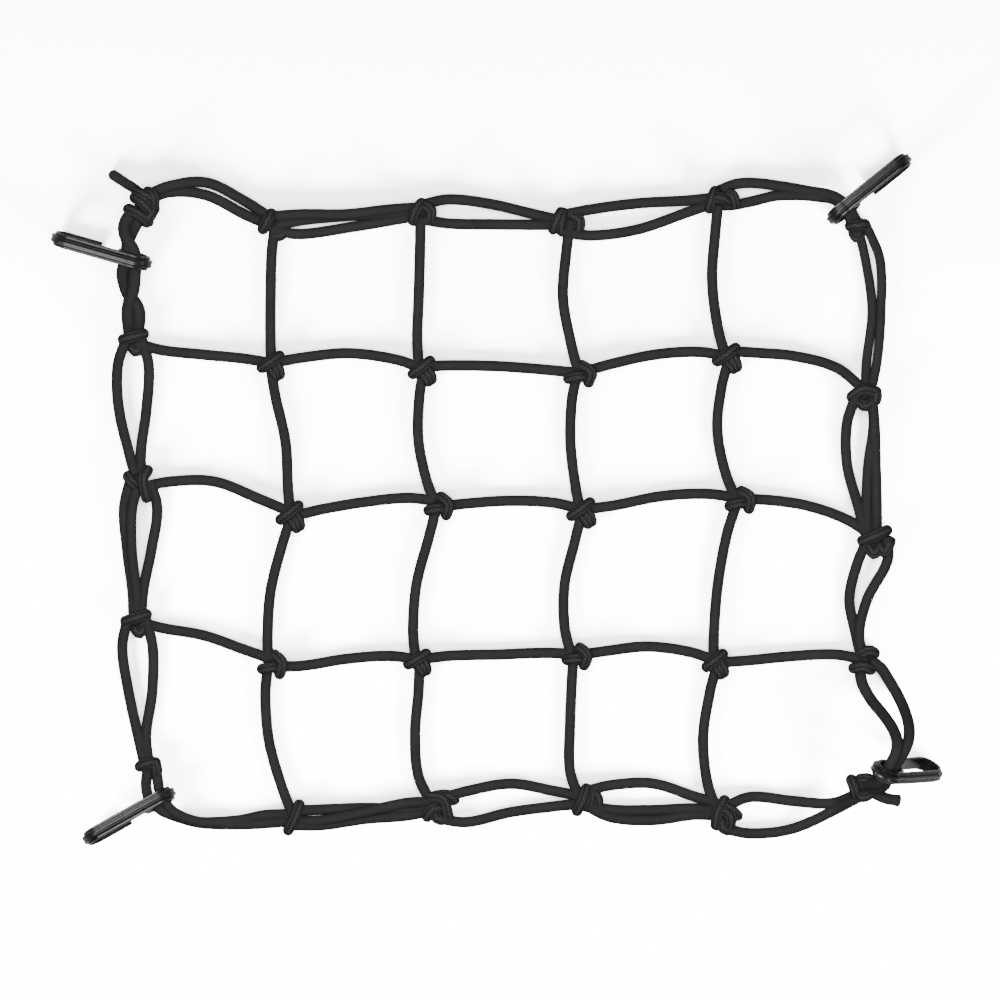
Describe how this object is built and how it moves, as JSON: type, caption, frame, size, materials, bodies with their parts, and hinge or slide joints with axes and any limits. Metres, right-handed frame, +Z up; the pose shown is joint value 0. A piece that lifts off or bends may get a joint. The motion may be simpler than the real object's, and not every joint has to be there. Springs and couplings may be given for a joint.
{
  "type": "cargo net",
  "caption": "Elastic shock-cord cargo net, knotted in open meshes with a doubled border and a moulded plastic hook at each corner, laid flat.",
  "frame": {"origin": "on the floor below the middle of the laid-out net with its hooks", "axes": "+X across the net towards its right side in the picture, +Y towards its top side in the picture, +Z up from the floor"},
  "size_m": [0.4904, 0.3816, 0.0498],
  "materials": {
    "braided_cord_cover": "matt braided textile",
    "black_moulding": "satin injection moulding"
  },
  "bodies": {
    "root": {"net": "braided_cord_cover", "hook_top_left": "black_moulding", "hook_top_right": "black_moulding", "hook_bottom_left": "black_moulding", "hook_bottom_right": "black_moulding"}
  },
  "joints": []
}
